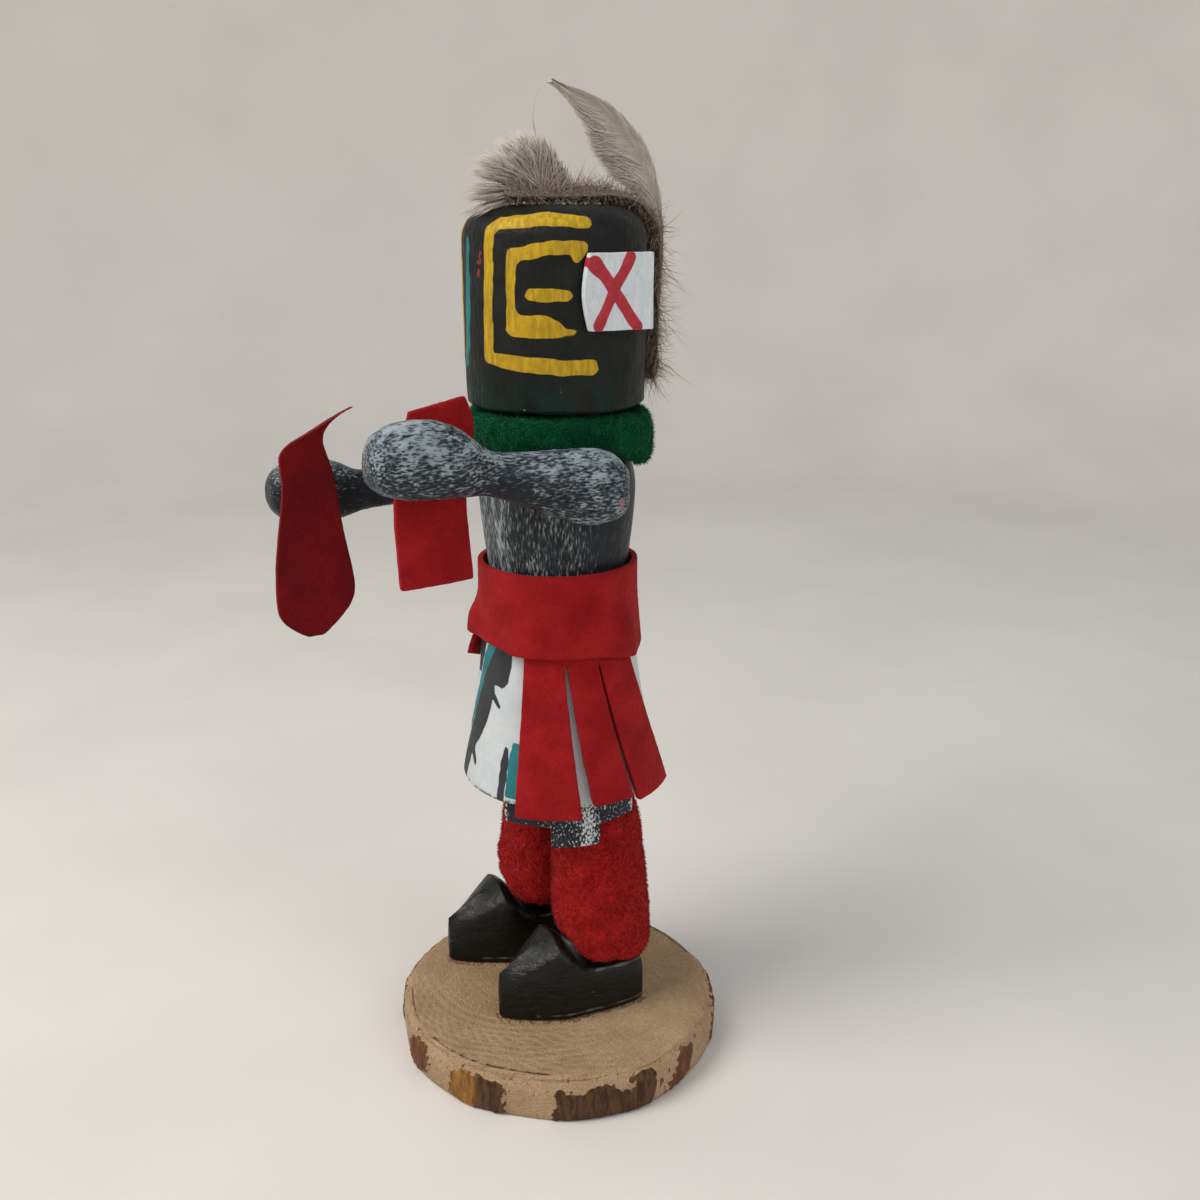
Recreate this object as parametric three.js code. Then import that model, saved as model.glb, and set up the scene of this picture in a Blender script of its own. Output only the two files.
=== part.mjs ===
// A carved and painted kachina doll on a slice of branch.
// Millimetres, +Z up. The origin is at the centre of the slice's underside.
// The figure faces -Y and its left side is +X. Its parts are given in the
// figure's own frame, whose vertical axis stands at FIGURE_AXIS on the slice.

import * as THREE from 'three';

// ---- driving dimensions ----------------------------------------------------

const GAP = 0.3; // clearance between pieces that touch
const FIGURE_AXIS = { x: -2.5, y: 2 };

const SLICE = { radius: 25.1, height: 7.1, chamfer: 0.9, sides: 72 };

const SHOE = {
  length: 22.4,
  heelY: 8.4, // back of the heel, from the shoe's own middle
  halfWidth: 5.6,
  heelTop: 16.7,
  instepTop: 20.6,
  instepY: -5.6,
  toeTop: 14.9,
};
const LEG = { radiusX: 7, radiusY: 8, lean: 2.4, top: 45.6, lift: 0.5 };

// Each foot's middle, the turn of its shoe, and the middle of its legging.
const LEFT_FOOT = { x: 7.6, y: 0, yaw: -4, legX: 8.1, legY: 3.3 };
const RIGHT_FOOT = { x: -10.9, y: -0.9, yaw: -5, legX: -9.2, legY: 1.6 };

const BODY = { hip: 9, waist: 9.5, beltTop: 10.6, chest: 11.65, neck: 6.4, bottom: 46.2 };
const SHOULDER_Z = 93.6;
const ARM_X = 15.2; // the arms' middle plane, left and right
const HEAD = { radius: 13, bottom: 100.8, top: 128, corner: 5.6 };

const KILT = { top: 73.5, hem: 44.3, topRadius: 10.7, hemRadius: 14.9, thickness: 0.75 };
const PANEL = { top: 58, hem: 40.1, tab: 36.8, thickness: 0.8, radius: 13.5 };
const BELT = { top: 78, bottom: 66.4, thickness: 0.9 };
const FRINGE = { top: 69, thickness: 0.9 };
const FLAP = { top: 69, bottom: 59, slant: 0.09, from: -159, to: -109, thickness: 0.8 };
const STRIP_THICKNESS = 0.9;

const EAR = { width: 9.5, height: 10, thickness: 0.9, bottom: 112, backY: 7.7 };
const COLLAR = { radius: 11, halfThick: 2.3, low: 94.8, high: 100.4 };

// ---- materials -------------------------------------------------------------

function paint(color, roughness) {
  return new THREE.MeshStandardMaterial({ color, roughness, metalness: 0 });
}

const materials = {
  slice: paint(0xa5855f, 0.8),
  gloss: paint(0x101010, 0.35),
  black: paint(0x23282a, 0.6),
  suede: paint(0xa01820, 0.95),
  leather: paint(0xd5dadc, 0.6),
  speckled: paint(0x4a5056, 0.7),
  felt: paint(0x005030, 0.95),
  white: paint(0xdfe3e6, 0.5),
  feather: paint(0xa59b8c, 0.9),
  fur: paint(0x6e5b4b, 0.95),
};

// ---- solids ----------------------------------------------------------------

const radians = THREE.MathUtils.degToRad;
const lerp = THREE.MathUtils.lerp;

// A smooth step from 0 at a to 1 at b, for a either side of b.
function ease(t, a, b) {
  const s = THREE.MathUtils.clamp((t - a) / (b - a), 0, 1);
  return s * s * (3 - 2 * s);
}

// An indexed closed mesh, with its faces turned to point out.
function closedMesh(points, triangles) {
  const p = points.map((v) => v.toArray());
  let volume = 0;
  for (const [a, b, c] of triangles) {
    const cross = new THREE.Vector3(...p[b]).cross(new THREE.Vector3(...p[c]));
    volume += new THREE.Vector3(...p[a]).dot(cross);
  }
  const faces = volume < 0 ? triangles.map(([a, b, c]) => [a, c, b]) : triangles;
  const geometry = new THREE.BufferGeometry();
  geometry.setAttribute('position', new THREE.Float32BufferAttribute(p.flat(), 3));
  geometry.setIndex(faces.flat());
  geometry.computeVertexNormals();
  return geometry;
}

// A solid through a stack of rings, each with the same number of points.
function ringLoft(rings) {
  const sides = rings[0].length;
  const points = rings.flat();
  const triangles = [];
  for (let r = 0; r + 1 < rings.length; r += 1) {
    for (let i = 0; i < sides; i += 1) {
      const a = r * sides + i;
      const b = r * sides + ((i + 1) % sides);
      triangles.push([a, b, b + sides], [a, b + sides, a + sides]);
    }
  }
  const ends = [rings[0], rings[rings.length - 1]];
  ends.forEach((ring, end) => {
    const middle = ring.reduce((sum, v) => sum.add(v), new THREE.Vector3());
    points.push(middle.divideScalar(sides));
    const first = end * (rings.length - 1) * sides;
    for (let i = 0; i < sides; i += 1) {
      const a = first + i;
      const b = first + ((i + 1) % sides);
      const face = end ? [a, b, points.length - 1] : [b, a, points.length - 1];
      triangles.push(face);
    }
  });
  return closedMesh(points, triangles);
}

// A ring of points. place(angle) gives each one's place.
function ring(sides, place) {
  return Array.from({ length: sides }, (_, i) => place((i / sides) * 2 * Math.PI));
}

// A sheet of some thickness over a grid of columns and rows. face(u, v, side)
// gives the point on the outer (1) or inner (0) face, and keep(i, j) says
// whether a cell is leather or cut away. With closed, the columns join up.
function thickSheet({ columns, rows, face, keep = () => true, closed = false }) {
  const nu = columns.length;
  const cells = closed ? nu : nu - 1;
  const held = (i, j) => {
    const column = closed ? (i + cells) % cells : i;
    if (column < 0 || column >= cells || j < 0 || j >= rows.length - 1) return false;
    return keep(column, j);
  };
  const points = [];
  const numbers = new Map();
  const vertex = (i, j, side) => {
    const key = `${i % nu}_${j}_${side}`;
    if (!numbers.has(key)) {
      numbers.set(key, points.length);
      points.push(face(columns[i % nu], rows[j], side));
    }
    return numbers.get(key);
  };
  const triangles = [];
  const quad = (a, b, c, d) => triangles.push([a, b, c], [a, c, d]);
  for (let i = 0; i < cells; i += 1) {
    for (let j = 0; j + 1 < rows.length; j += 1) {
      if (!held(i, j)) continue;
      const corners = [[i, j], [i + 1, j], [i + 1, j + 1], [i, j + 1]];
      const outer = corners.map(([a, b]) => vertex(a, b, 1));
      const inner = corners.map(([a, b]) => vertex(a, b, 0));
      quad(...outer);
      quad(...[...inner].reverse());
      const beyond = [[i, j - 1], [i + 1, j], [i, j + 1], [i - 1, j]];
      beyond.forEach(([a, b], k) => {
        const n = (k + 1) % 4;
        if (!held(a, b)) quad(outer[n], outer[k], inner[k], inner[n]);
      });
    }
  }
  return closedMesh(points, triangles);
}

function steps(from, to, count) {
  return Array.from({ length: count + 1 }, (_, i) => lerp(from, to, i / count));
}

function polar(radius, degrees, z) {
  const a = radians(degrees);
  return new THREE.Vector3(radius * Math.cos(a), radius * Math.sin(a), z);
}

// ---- the slice -------------------------------------------------------------

// The slice's outline is uneven, as a young branch is.
function sliceRadius(angle) {
  const wave = 0.35 * Math.sin(2 * angle + 0.6) + 0.22 * Math.sin(5 * angle + 1.9);
  return SLICE.radius + wave + 0.1 * Math.sin(11 * angle);
}

function branchSlice() {
  const { height, chamfer, sides } = SLICE;
  const levels = [
    [0, 0.9],
    [0.5, 0.3],
    [height * 0.55, 0],
    [height - chamfer, 0.15],
    [height - 0.3, 0.75],
    [height, 1.5],
  ];
  return ringLoft(levels.map(([z, inset]) => ring(sides, (a) => {
    const r = sliceRadius(a) - inset;
    return new THREE.Vector3(r * Math.cos(a), r * Math.sin(a), z);
  })));
}

// ---- shoes and leggings ----------------------------------------------------

// The height of the shoe's ridge: up from the toe to the instep, then down
// under the legging to a low, level heel.
function shoeTop(y) {
  const toeY = SHOE.heelY - SHOE.length;
  if (y < SHOE.instepY) {
    return lerp(SHOE.toeTop, SHOE.instepTop, (y - toeY) / (SHOE.instepY - toeY));
  }
  const heel = SHOE.heelTop - 0.08 * (y - SHOE.instepY);
  return lerp(SHOE.instepTop, heel, ease(y, SHOE.instepY, SHOE.instepY + 4.6));
}

// How far the shoe's upper falls from its ridge to the top of its side.
function shoeCrown(y) {
  return 0.9 + 0.6 * ease(y, SHOE.instepY + 4, SHOE.instepY);
}

// Half the shoe's width: a rounded heel, a full middle and a blunt toe.
function shoeHalfWidth(y) {
  const back = SHOE.heelY - y;
  const front = y - (SHOE.heelY - SHOE.length);
  const heel = 0.8 + 0.2 * Math.sqrt(Math.min(1, back / 3));
  const toe = Math.min(1, (front / 9.5 + 0.02) ** 0.62);
  return SHOE.halfWidth * heel * toe;
}

function shoe() {
  const toeY = SHOE.heelY - SHOE.length;
  const bottom = SLICE.height + GAP;
  const stations = [0, 0.3, 1, 2.2, 4, 6.2, 8.4, 9.6, 10.8, 12, 13.2, 16, 19, 21.4, SHOE.length];
  return ringLoft(stations.map((front) => {
    const y = toeY + front;
    const w = shoeHalfWidth(y);
    const top = shoeTop(y);
    const edge = Math.min(1.5, w * 0.45);
    const crown = shoeCrown(y);
    const half = [
      [w * 0.5, bottom],
      [w - 0.25, bottom],
      [w, bottom + 0.7],
      [w, top - crown - 1.1],
      [w - 0.35 * edge, top - crown - 0.3],
      [w - edge, top - 0.75 * crown],
    ];
    const right = half.map(([x, z]) => new THREE.Vector3(x, y, z));
    const left = half.map(([x, z]) => new THREE.Vector3(-x, y, z)).reverse();
    return [...right, new THREE.Vector3(0, y, top), ...left];
  }));
}

// The height of a foot's upper under a point of the figure, or 0 beside it.
function upperHeight(foot, x, y) {
  const at = new THREE.Vector2(x - foot.x, y - foot.y);
  at.rotateAround(new THREE.Vector2(), -radians(foot.yaw));
  const w = shoeHalfWidth(THREE.MathUtils.clamp(at.y, SHOE.heelY - SHOE.length, SHOE.heelY));
  if (Math.abs(at.x) > w + 0.5 || at.y > SHOE.heelY + 0.5) return 0;
  const slope = Math.min(1, Math.abs(at.x) / w) ** 2;
  return shoeTop(Math.min(at.y, SHOE.heelY)) - shoeCrown(at.y) * slope;
}

// A legging round the lower leg, leaning in to the hip. Its underside lies
// along the shoe, and side is 1 for the left leg.
function legging(side, foot) {
  const sections = [
    // share of the height, swell across, swell from front to back
    [0, 0.3, 0.3],
    [0, 0.6, 0.6],
    [0, 0.84, 0.86],
    [0.03, 0.97, 0.98],
    [0.1, 1.01, 1.02],
    [0.25, 1, 1],
    [0.5, 0.97, 0.93],
    [0.68, 0.87, 0.86],
    [0.8, 0.76, 0.76],
    [0.9, 0.67, 0.66],
    [1, 0.57, 0.55],
  ];
  return ringLoft(sections.map(([t, wide, deep]) => ring(28, (a) => {
    const x = LEG.radiusX * wide * Math.cos(a);
    const y = LEG.radiusY * deep * Math.sin(a);
    const middle = foot.legX - side * LEG.lean * t;
    const inner = 0.2 * side - 0.6;
    const across = side > 0 ? Math.max(middle + x, inner) : Math.min(middle + x, inner);
    const rim = 16.7 - 0.13 * y - 0.14 * side * x;
    const low = Math.max(rim, upperHeight(foot, across, foot.legY + y) + LEG.lift);
    return new THREE.Vector3(across, foot.legY + y, lerp(low, LEG.top, t));
  })));
}

// ---- body and head ---------------------------------------------------------

function body() {
  const levels = [
    // height, half width, half depth
    [BODY.bottom, BODY.hip - 0.6, BODY.hip - 0.9],
    [BODY.bottom + 0.8, BODY.hip, BODY.hip - 0.3],
    [60, BODY.waist, BODY.waist - 0.2],
    [71, BODY.waist + 0.1, BODY.waist],
    [BELT.top - 2.5, BODY.beltTop - 0.4, BODY.beltTop - 0.4],
    [BELT.top + 1, BODY.beltTop, BODY.beltTop],
    [83, BODY.chest - 0.5, BODY.chest - 0.5],
    [88, BODY.chest, BODY.chest],
    [91, BODY.chest - 0.1, BODY.chest - 0.2],
    [92.8, BODY.chest - 1, BODY.chest - 1.2],
    [SHOULDER_Z, BODY.chest - 2.4, BODY.chest - 2.6],
    [SHOULDER_Z + 0.5, BODY.neck + 0.9, BODY.neck + 0.9],
    [SHOULDER_Z + 1.2, BODY.neck, BODY.neck],
    [HEAD.bottom - GAP, BODY.neck, BODY.neck],
  ];
  return ringLoft(levels.map(([z, rx, ry]) => ring(36, (a) => {
    // the chest has a flat facet in front, cut straight with the knife
    const facet = z > BELT.top - 3 && z < SHOULDER_Z + 0.1 ? 0.93 * ry : ry;
    const y = Math.max(ry * Math.sin(a), -facet);
    return new THREE.Vector3(rx * Math.cos(a), y, z);
  })));
}

function head() {
  const { radius, bottom, top, corner } = HEAD;
  const arc = steps(0, 90, 6).map((degrees) => {
    const a = radians(degrees);
    return [
      top - corner * 0.8 + corner * 0.8 * Math.sin(a),
      radius - corner + corner * Math.cos(a),
    ];
  });
  const levels = [[bottom, radius - 0.9], [bottom + 0.5, radius - 0.3], [bottom + 9, radius], ...arc];
  return ringLoft(levels.map(([z, r]) => ring(44, (a) => (
    new THREE.Vector3(r * Math.cos(a), r * Math.sin(a), z)
  ))));
}

// ---- arms ------------------------------------------------------------------

// Sections down an arm: forward distance, centre height, half height, half
// thickness. The hand is one knob with the arm.
const LEFT_ARM = [
  [-3.2, 90.9, 1.6, 1],
  [-2.7, 91, 3.4, 2.1],
  [-1.3, 91.2, 4.8, 3],
  [1, 91.5, 5.4, 3.5],
  [3.8, 91.7, 5.4, 3.6],
  [8.5, 92.6, 4.4, 3.4],
  [13, 93.6, 3.5, 3],
  [17, 94.7, 2.9, 2.7],
  [19, 95.6, 3.5, 3.1],
  [21.3, 96.7, 4.7, 3.9],
  [25, 97.4, 5.3, 4.4],
  [29, 97.5, 5.1, 4.3],
  [32, 97.4, 4.1, 3.4],
  [33.6, 97.3, 2.4, 2],
];
const RIGHT_ARM = [
  [-3.2, 90.7, 1.6, 1],
  [-2.7, 90.8, 3.4, 2.1],
  [-1.3, 91, 4.8, 3],
  [1, 91.1, 5.4, 3.5],
  [3.8, 91, 5.3, 3.6],
  [9, 89.8, 4.3, 3.3],
  [16, 88.5, 3.3, 2.9],
  [24, 87.5, 2.8, 2.6],
  [26.5, 87.6, 3.4, 2.9],
  [28.6, 88, 4.5, 3.7],
  [32, 88.3, 5, 4.1],
  [35.5, 88.4, 4.7, 3.9],
  [37.6, 88.5, 3.5, 2.9],
  [38.6, 88.6, 1.9, 1.5],
];

function arm(sections, side) {
  return ringLoft(sections.map(([forward, z, high, thick]) => ring(16, (a) => {
    // a carved, slightly squared section, flat where it is glued to the torso
    const square = (v) => Math.sign(v) * Math.abs(v) ** 0.82;
    const x = thick * square(Math.cos(a)) * side;
    const flat = ARM_X - BODY.chest - GAP;
    const across = side > 0 ? Math.max(x, -flat) : Math.min(x, flat);
    return new THREE.Vector3(side * ARM_X + across, -forward, z + high * square(Math.sin(a)));
  })));
}

// ---- leather and suede on the hips -----------------------------------------

// The kilt's outer face, which the fringe, flap and belt lie over.
function kiltRadius(z) {
  const t = THREE.MathUtils.clamp((KILT.top - z) / (KILT.top - KILT.hem), 0, 1);
  return lerp(KILT.topRadius, KILT.hemRadius, 0.35 * t + 0.65 * t * t ** 0.5);
}

function kilt() {
  const seam = 152; // the wrap's two edges meet at the back on the right
  const opening = 2.2;
  return thickSheet({
    columns: steps(seam + opening - 360, seam - opening, 40),
    rows: steps(KILT.top, KILT.hem, 7),
    face: (angle, z, side) => {
      // the hem hangs a little lower at the left than at the front
      const droop = ease(z, KILT.top, KILT.hem) * 0.5 * Math.cos(radians(angle + 20));
      return polar(kiltRadius(z) - (side ? 0 : KILT.thickness), angle, z - droop);
    },
  });
}

// A panel of painted leather that hangs under the kilt at the left, with
// its lower edge cut in three steps.
function steppedPanel() {
  const edges = [-64, -32, 0, 28];
  const columns = [];
  for (let k = 0; k < 3; k += 1) columns.push(...steps(edges[k], edges[k + 1], 4).slice(0, 4));
  columns.push(edges[3]);
  return thickSheet({
    columns,
    rows: [PANEL.top, 52, 45, PANEL.hem, PANEL.tab],
    face: (angle, z, side) => {
      const hang = Math.min(kiltRadius(z) - KILT.thickness - 0.4, PANEL.radius);
      return polar(hang - (side ? 0 : PANEL.thickness), angle, z);
    },
    keep: (i, j) => j < 3 || (i >= 4 && i < 8),
  });
}

// How far the belt stands off the kilt: it swells over the fringe's top.
function beltRadius(angle, z) {
  const tuck = ease(z, FRINGE.top + 3, FRINGE.top + 0.5);
  const overFringe = ease(Math.abs(angle + 12), 54, 42) * tuck;
  const overFlap = ease(Math.abs(angle - (FLAP.from + FLAP.to) / 2), 39, 29) * tuck;
  const base = Math.max(kiltRadius(z), BODY.beltTop) + GAP;
  return base + (FRINGE.thickness + GAP) * Math.max(overFringe, overFlap);
}

function belt() {
  return thickSheet({
    columns: steps(-180, 180, 48).slice(0, 48),
    rows: [BELT.top, 75.5, 73, 71, 69.4, 68, BELT.bottom],
    closed: true,
    face: (angle, z, side) => {
      // the lower edge rises in front and falls at the back on the left
      const rise = 0.7 * ease(Math.abs(angle + 110), 60, 10) - 1.6 * ease(Math.abs(angle - 40), 50, 5);
      const share = ease(z, 71, BELT.bottom);
      const radius = beltRadius(angle, z) + (side ? BELT.thickness : 0);
      return polar(radius, angle, z + share * rise);
    },
  });
}

// The sash's fringe: one piece of suede cut into three strips. Each row of
// FRINGE_LINES is a cut edge's angle at the top and at the bottom.
const FRINGE_LINES = [
  [-49, -50],
  [-40, -38],
  [-32, -26],
  [-24, -14.5],
  [-23.2, -8.5],
  [-16, -0.5],
  [-9.5, 7.5],
  [-2.6, 15],
  [-1.9, 19.2],
  [6, 30],
  [15, 41],
  [24, 52],
];
const FRINGE_LENGTHS = [42.6, 44.5, 43.6]; // lower ends of the three strips

function fringe() {
  return thickSheet({
    columns: FRINGE_LINES.map((_, i) => i),
    rows: [0, 0.16, 0.3, 0.45, 0.6, 0.75, 0.88, 1],
    face: (i, t, side) => {
      const z = lerp(FRINGE.top, FRINGE_LENGTHS[Math.floor(i / 4)], t);
      const angle = lerp(FRINGE_LINES[i][0], FRINGE_LINES[i][1], t);
      const flare = 0.3 * t + 0.5 * t * t * (i / 11);
      const radius = kiltRadius(z) + GAP + flare + (side ? FRINGE.thickness : 0);
      return polar(radius, angle, z);
    },
    keep: (i, j) => j === 0 || i % 4 !== 3,
  });
}

function frontFlap() {
  return thickSheet({
    columns: steps(FLAP.from, FLAP.to, 5),
    rows: steps(FLAP.top, FLAP.bottom, 4),
    face: (angle, z, side) => {
      // the lower edge is cut on a slant and is shorter towards the front
      const share = ease(z, FLAP.top, FLAP.bottom);
      const cut = share * FLAP.slant * (angle - FLAP.from);
      const out = kiltRadius(z) + GAP + 0.3 * share;
      return polar(out + (side ? FLAP.thickness : 0), angle, z + cut);
    },
  });
}

// ---- strips of suede in the hands ------------------------------------------

// A flat strip hangs on the inner side of a hand. Rows are [height, sideways
// offset, middle forward distance, half width, rise of the front edge].
const LEFT_STRIP = [
  [103.3, 0.9, 21.6, 3.9, -0.8],
  [100.4, 0.4, 21.3, 4.9, -0.3],
  [96, 0, 22.4, 4.9, 0],
  [91, 0, 23.5, 5, 0],
  [85, 0.2, 23, 5.1, 0],
  [79, 0.7, 22.5, 5.2, -0.2],
];
const RIGHT_STRIP = [
  [100.9, 2.6, 28.4, 0.7, -0.3],
  [100, 2.2, 30.2, 1.2, -0.6],
  [98.2, 1.4, 33, 1.9, -0.9],
  [96.4, 0.7, 34.9, 2.7, -0.4],
  [94, 0.1, 34.6, 3.6, 0],
  [91, 0, 33.9, 3.6, 0],
  [84.4, 0, 34.1, 4.5, 0],
  [79.7, 0.2, 34.2, 5.3, 0],
  [73.6, 0.6, 33.9, 6, 0],
  [70.8, 0.8, 35.1, 4.6, 0],
  [68.3, 1, 34.7, 1.2, 0],
];

function handStrip(rows, side, handThickness) {
  const inside = ARM_X - handThickness - GAP;
  return thickSheet({
    columns: steps(-1, 1, 4),
    rows: rows.map((_, i) => i),
    face: (u, i, face) => {
      const [z, off, forward, half, rise] = rows[i];
      const x = inside - off - 0.35 * u * u - (face ? 0 : STRIP_THICKNESS);
      return new THREE.Vector3(side * x, -(forward + u * half), z + u * rise);
    },
  });
}

// ---- collar, ears, fur and feathers ----------------------------------------

// A fuzzy band round the neck. It starts with an end that stands out in
// front, and it sags at the back on the left.
function collar() {
  const from = -112;
  const turn = 352;
  return ringLoft(steps(0, 1, 44).map((t) => {
    const angle = from + turn * t;
    const tail = ease(t, 0.07, 0);
    const sag = Math.exp(-(((angle - 52) / 20) ** 2));
    const pinch = Math.cos(radians(angle)) ** 4 * (1 - sag); // pressed in by the shoulders
    const radius = COLLAR.radius + 2.6 * tail + 1.5 * sag - 0.6 * pinch;
    const thick = COLLAR.halfThick * (1 - 0.25 * tail) - 0.75 * sag - 0.3 * pinch;
    const low = COLLAR.low + 1.2 * tail - 2.6 * sag;
    const high = COLLAR.high - 0.6 * tail - 0.6 * sag;
    return ring(10, (a) => {
      const square = (v) => Math.sign(v) * Math.abs(v) ** 0.7;
      const z = (low + high) / 2 + ((high - low) / 2) * square(Math.sin(a));
      return polar(radius + thick * square(Math.cos(a)), angle, z);
    });
  }));
}

// An ear is a small plate with a curved front edge.
function ear(side) {
  const { width, height, thickness, bottom, backY } = EAR;
  const inner = HEAD.radius + GAP;
  return thickSheet({
    columns: steps(0, 1, 3),
    rows: steps(0, 1, 6),
    face: (u, v, face) => {
      const bow = 0.9 * Math.sin(Math.PI * v) * (1 - u);
      const y = lerp(backY - width, backY, u) - bow;
      return new THREE.Vector3(side * (inner + (face ? thickness : 0)), y, bottom + height * v);
    },
  });
}

// The line over the crown and down the back that the fur lies on.
function crownLine(t) {
  const { radius, top, corner } = HEAD;
  const points = [
    new THREE.Vector2(-radius + 3.6, top + GAP),
    new THREE.Vector2(radius - corner, top + GAP),
    new THREE.Vector2(radius - corner * 0.28, top - corner * 0.18),
    new THREE.Vector2(radius + GAP, top - corner * 0.8),
    new THREE.Vector2(radius + GAP, 103),
  ];
  const lengths = [0];
  for (let i = 1; i < points.length; i += 1) {
    lengths.push(lengths[i - 1] + points[i].distanceTo(points[i - 1]));
  }
  const at = t * lengths[lengths.length - 1];
  let i = 0;
  while (i < points.length - 2 && at > lengths[i + 1]) i += 1;
  const s = (at - lengths[i]) / (lengths[i + 1] - lengths[i]);
  return points[i].clone().lerp(points[i + 1], s);
}

function furCrest() {
  const halfWidth = 5.4;
  return thickSheet({
    columns: steps(-1, 1, 4),
    rows: [0, 0.12, 0.25, 0.37, 0.43, 0.49, 0.56, 0.68, 0.84, 1],
    face: (u, t, face) => {
      const low = crownLine(t);
      const clear = 0.15 + 0.5 * ease(t, 0.3, 0.4) * ease(t, 0.64, 0.54); // over the rounded edge
      const deep = 1.9 - 0.7 * ease(t, 0.5, 0.66); // thinner down the back
      const rise = face ? clear + deep * (1 - 0.5 * u * u) : clear;
      const outward = new THREE.Vector2(ease(t, 0.34, 0.58), 1 - ease(t, 0.34, 0.58)).normalize();
      const at = low.add(outward.multiplyScalar(rise));
      return new THREE.Vector3(u * halfWidth, at.x, at.y);
    },
  });
}

// A feather as a thin curved vane. spine(t) is its middle line, and width(t)
// is half its breadth across the plane that it curls in.
function feather(spine, width, thickness, count) {
  const path = new THREE.CatmullRomCurve3(spine.map((p) => new THREE.Vector3(...p)));
  return thickSheet({
    columns: steps(-1, 1, 2),
    rows: steps(0, 1, count),
    face: (u, t, face) => {
      const tangent = path.getTangent(t);
      const across = new THREE.Vector3(0, -tangent.z, tangent.y).normalize();
      const at = path.getPoint(t).addScaledVector(across, u * width(t));
      at.x += (face ? 0.5 : -0.5) * thickness * (1 - 0.6 * Math.abs(u));
      return at;
    },
  });
}

const BACK_FEATHER_SPINE = [
  [1.2, 16, 113],
  [1.2, 16.1, 120],
  [1.1, 15.9, 127],
  [0.8, 13, 134],
  [0.4, 7.8, 139.8],
  [0, 0, 143.4],
];
const FRONT_FEATHER_SPINE = [
  [1, -1.6, 130.8],
  [1, -3, 134.2],
  [1.2, -6, 137.8],
  [1.2, -8.4, 140.6],
];

// ---- assembly --------------------------------------------------------------

const doll = new THREE.Group();
const figure = new THREE.Group();
figure.position.set(FIGURE_AXIS.x, FIGURE_AXIS.y, 0);
doll.add(figure);

function add(parent, name, geometry, material) {
  const mesh = new THREE.Mesh(geometry, material);
  mesh.name = name;
  parent.add(mesh);
  return mesh;
}

function addShoe(name, foot) {
  const mesh = add(figure, name, shoe(), materials.gloss);
  mesh.position.set(foot.x, foot.y, 0);
  mesh.rotation.z = radians(foot.yaw);
}

add(doll, 'branch_slice', branchSlice(), materials.slice);
addShoe('shoe_left', LEFT_FOOT);
addShoe('shoe_right', RIGHT_FOOT);
add(figure, 'legging_left', legging(1, LEFT_FOOT), materials.suede);
add(figure, 'legging_right', legging(-1, RIGHT_FOOT), materials.suede);
add(figure, 'body', body(), materials.black);
add(figure, 'stepped_panel', steppedPanel(), materials.speckled);
add(figure, 'kilt', kilt(), materials.leather);
add(figure, 'sash_belt', belt(), materials.suede);
add(figure, 'sash_fringe', fringe(), materials.suede);
add(figure, 'front_flap', frontFlap(), materials.suede);
add(figure, 'arm_left', arm(LEFT_ARM, 1), materials.black);
add(figure, 'arm_right', arm(RIGHT_ARM, -1), materials.black);
add(figure, 'strip_left', handStrip(LEFT_STRIP, 1, 4.4), materials.suede);
add(figure, 'strip_right', handStrip(RIGHT_STRIP, -1, 4.2), materials.suede);
add(figure, 'collar', collar(), materials.felt);
add(figure, 'head', head(), materials.black);
add(figure, 'ear_left', ear(1), materials.white);
add(figure, 'ear_right', ear(-1), materials.white);
add(figure, 'fur_crest', furCrest(), materials.fur);
add(figure, 'feather_back',
  feather(BACK_FEATHER_SPINE, (t) => 0.6 + 2.9 * ease(t, 0.38, 0.66) - 2.7 * ease(t, 0.8, 1), 1, 10),
  materials.feather);
add(figure, 'feather_front',
  feather(FRONT_FEATHER_SPINE, (t) => 0.7 + 4.9 * ease(t, 0, 0.6) - 2.8 * t * t, 1, 6),
  materials.feather);

export default doll;
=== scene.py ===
import math

import bmesh
import bpy
import numpy as np
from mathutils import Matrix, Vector


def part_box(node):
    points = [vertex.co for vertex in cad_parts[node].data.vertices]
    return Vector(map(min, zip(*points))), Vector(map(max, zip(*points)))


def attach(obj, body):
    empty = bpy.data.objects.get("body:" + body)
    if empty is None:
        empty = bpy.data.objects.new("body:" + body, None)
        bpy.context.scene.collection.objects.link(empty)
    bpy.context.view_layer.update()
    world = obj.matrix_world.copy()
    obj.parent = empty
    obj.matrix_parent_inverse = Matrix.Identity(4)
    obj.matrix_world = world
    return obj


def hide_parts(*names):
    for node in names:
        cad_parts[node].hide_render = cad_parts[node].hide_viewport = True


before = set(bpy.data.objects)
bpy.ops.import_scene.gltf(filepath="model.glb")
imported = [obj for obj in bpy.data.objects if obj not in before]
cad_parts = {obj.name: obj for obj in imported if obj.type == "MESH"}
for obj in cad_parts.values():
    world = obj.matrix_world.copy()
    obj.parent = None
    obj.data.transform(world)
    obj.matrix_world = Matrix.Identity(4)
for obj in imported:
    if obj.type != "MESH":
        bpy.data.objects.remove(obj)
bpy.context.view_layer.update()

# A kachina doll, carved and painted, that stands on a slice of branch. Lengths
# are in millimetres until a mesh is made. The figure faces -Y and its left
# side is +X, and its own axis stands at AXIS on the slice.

MM = 0.001


def box_mm(node):
    low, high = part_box(node)
    return np.array(low) / MM, np.array(high) / MM


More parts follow.
